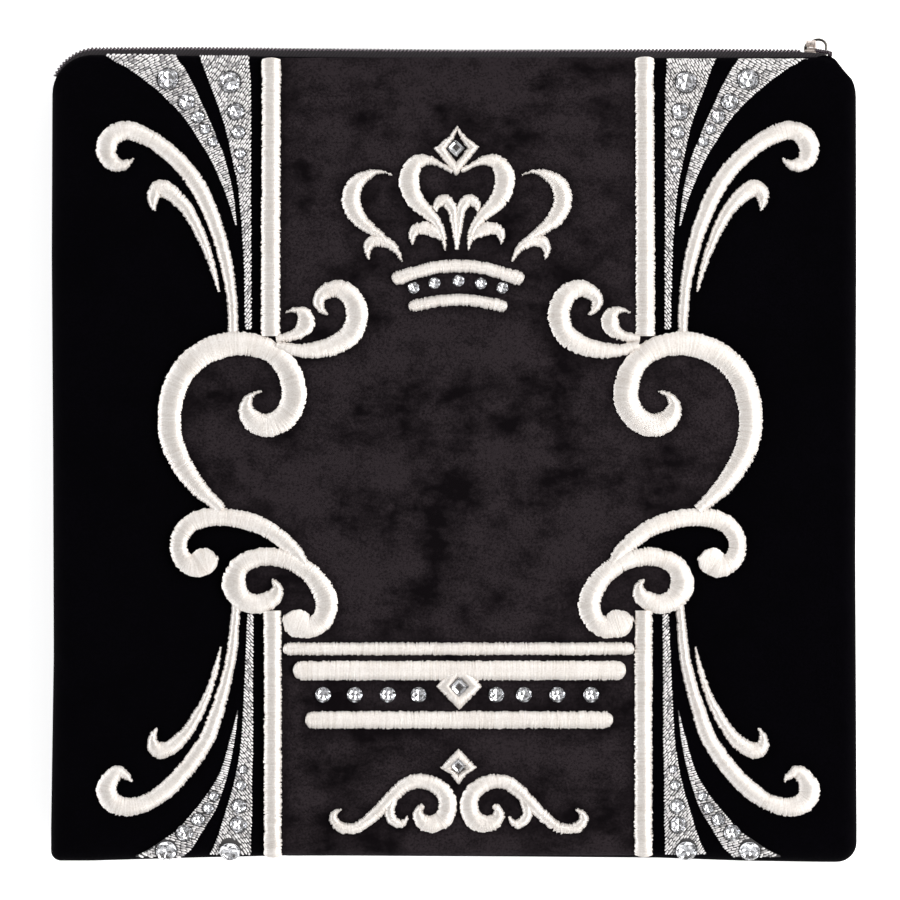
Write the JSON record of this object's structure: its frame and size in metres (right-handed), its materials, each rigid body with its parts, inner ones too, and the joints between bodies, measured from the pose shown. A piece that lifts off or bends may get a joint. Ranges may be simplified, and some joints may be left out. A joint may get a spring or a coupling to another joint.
{
  "type": "tefillin bag",
  "caption": "Flat square black velvet zip bag with raised white satin scrolls, a crown, silver fans and rhinestones on its front.",
  "frame": {"origin": "middle of the flat area of the back that the bag rests on", "axes": "+Z out of the front face, +Y towards the zip, +X to the right seen from the front"},
  "size_m": [0.2419, 0.2471, 0.0273],
  "materials": {
    "black_velvet": "black velvet pile",
    "charcoal_velvet": "charcoal velvet pile with clouds",
    "white_satin": "off-white satin stitch",
    "silver_thread": "silver thread in dashes",
    "rhinestone": "foil-backed cut glass",
    "zip_tape": "woven black zip tape",
    "zip_coil": "black nylon coil",
    "nickel": "bright nickel plate"
  },
  "bodies": {
    "bag": {"front_panel": "black_velvet", "back_panel": "black_velvet", "centre_applique": "charcoal_velvet", "fan_upper_outer_left": "silver_thread", "fan_upper_outer_right": "silver_thread", "fan_upper_inner_left": "silver_thread", "fan_upper_inner_right": "silver_thread", "fan_lower_outer_left": "silver_thread", "fan_lower_outer_right": "silver_thread", "fan_lower_inner_left": "silver_thread", "fan_lower_inner_right": "silver_thread", "column_upper_left": "white_satin", "column_upper_right": "white_satin", "column_lower_left": "white_satin", "column_lower_right": "white_satin", "big_scroll_left": "white_satin", "big_scroll_right": "white_satin", "upper_scroll_left": "white_satin", "upper_scroll_right": "white_satin", "lower_scroll_left": "white_satin", "lower_scroll_right": "white_satin", "corner_curl_upper_left": "white_satin", "corner_curl_upper_right": "white_satin", "corner_curl_lower_left": "white_satin", "corner_curl_lower_right": "white_satin", "small_curl_upper_left": "white_satin", "small_curl_upper_right": "white_satin", "small_curl_lower_left": "white_satin", "small_curl_lower_right": "white_satin", "crown_arch_left": "white_satin", "crown_arch_right": "white_satin", "crown_heart": "white_satin", "crown_fleur": "white_satin", "crown_band_upper": "white_satin", "crown_band_lower": "white_satin", "crown_stone_1": "rhinestone", "crown_stone_2": "rhinestone", "crown_stone_3": "rhinestone", "crown_stone_4": "rhinestone", "crown_stone_5": "rhinestone", "base_bar_top": "white_satin", "base_bar_middle": "white_satin", "base_bar_bottom": "white_satin", "base_stone_1": "rhinestone", "base_stone_2": "rhinestone", "base_stone_3": "rhinestone", "base_stone_4": "rhinestone", "base_stone_5": "rhinestone", "base_stone_6": "rhinestone", "base_stone_7": "rhinestone", "base_stone_8": "rhinestone", "flourish_left": "white_satin", "flourish_right": "white_satin", "foot_lozenge": "white_satin", "zip_tape_front": "zip_tape", "zip_tape_back": "zip_tape", "zip_coil": "zip_coil", "zip_slider": "nickel", "zip_stop": "nickel"},
    "zip_pull": {"zip_pull": "nickel"}
  },
  "joints": [
    {"name": "zip_pull_swing", "type": "hinge", "parent": "bag", "child": "zip_pull", "pos_m": [0.1067, 0.1235, 0.012], "axis": [1, 0, 0], "range_deg": [-20, 200]}
  ]
}
